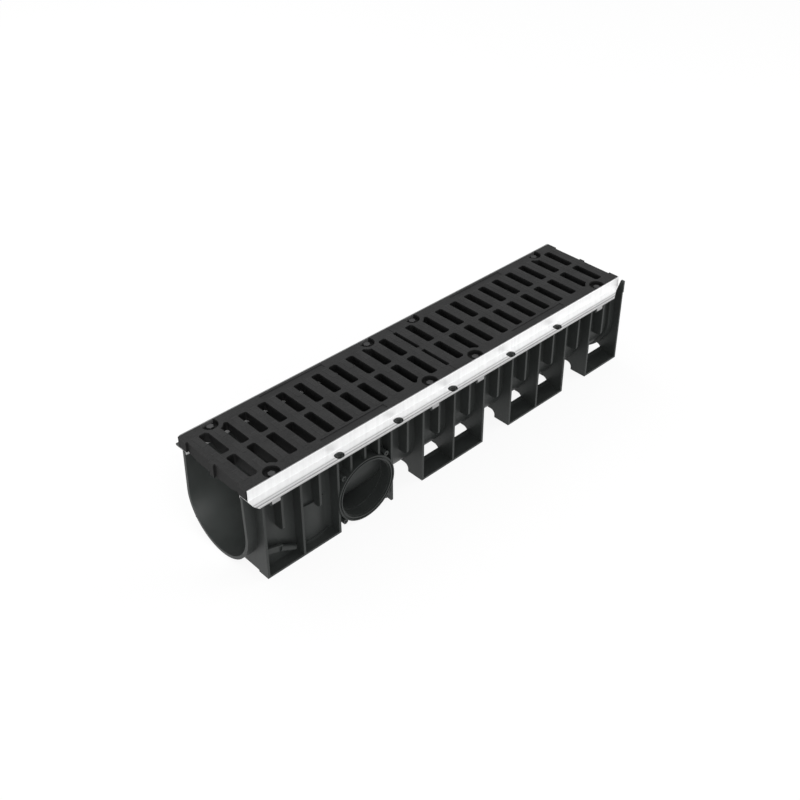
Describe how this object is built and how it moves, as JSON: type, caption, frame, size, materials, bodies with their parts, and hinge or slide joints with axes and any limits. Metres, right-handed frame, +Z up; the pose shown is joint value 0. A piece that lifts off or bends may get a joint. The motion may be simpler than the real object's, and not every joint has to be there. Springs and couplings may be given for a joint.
{
  "type": "channel drain",
  "caption": "Moulded drainage channel on ribbed feet, with folded steel edge rails, slotted cast grates bolted down and a round side outlet.",
  "frame": {"origin": "centre of the bounding box on the ground", "axes": "+X along the trough from the near collar to the far socket, +Z up, side outlet towards -Y"},
  "size_m": [1.008, 0.25, 0.21],
  "materials": {
    "channel_plastic": "moulded, near black, satin",
    "rail_steel": "bright galvanised",
    "grate_iron": "dark matt coating on cast iron",
    "bolt_steel": "dulled steel",
    "nut_steel": "zinc plated"
  },
  "bodies": {
    "root": {"channel_body": "channel_plastic", "rail_outlet_side": "rail_steel", "rail_plain_side": "rail_steel", "grate_near": "grate_iron", "grate_far": "grate_iron", "grate_bolt_1": "bolt_steel", "grate_bolt_2": "bolt_steel", "grate_bolt_3": "bolt_steel", "grate_bolt_4": "bolt_steel", "grate_bolt_5": "bolt_steel", "grate_bolt_6": "bolt_steel", "grate_bolt_7": "bolt_steel", "grate_bolt_8": "bolt_steel", "captive_nut_1": "nut_steel", "captive_nut_2": "nut_steel", "captive_nut_3": "nut_steel", "captive_nut_4": "nut_steel", "captive_nut_5": "nut_steel", "captive_nut_6": "nut_steel", "captive_nut_7": "nut_steel", "captive_nut_8": "nut_steel"}
  },
  "joints": []
}
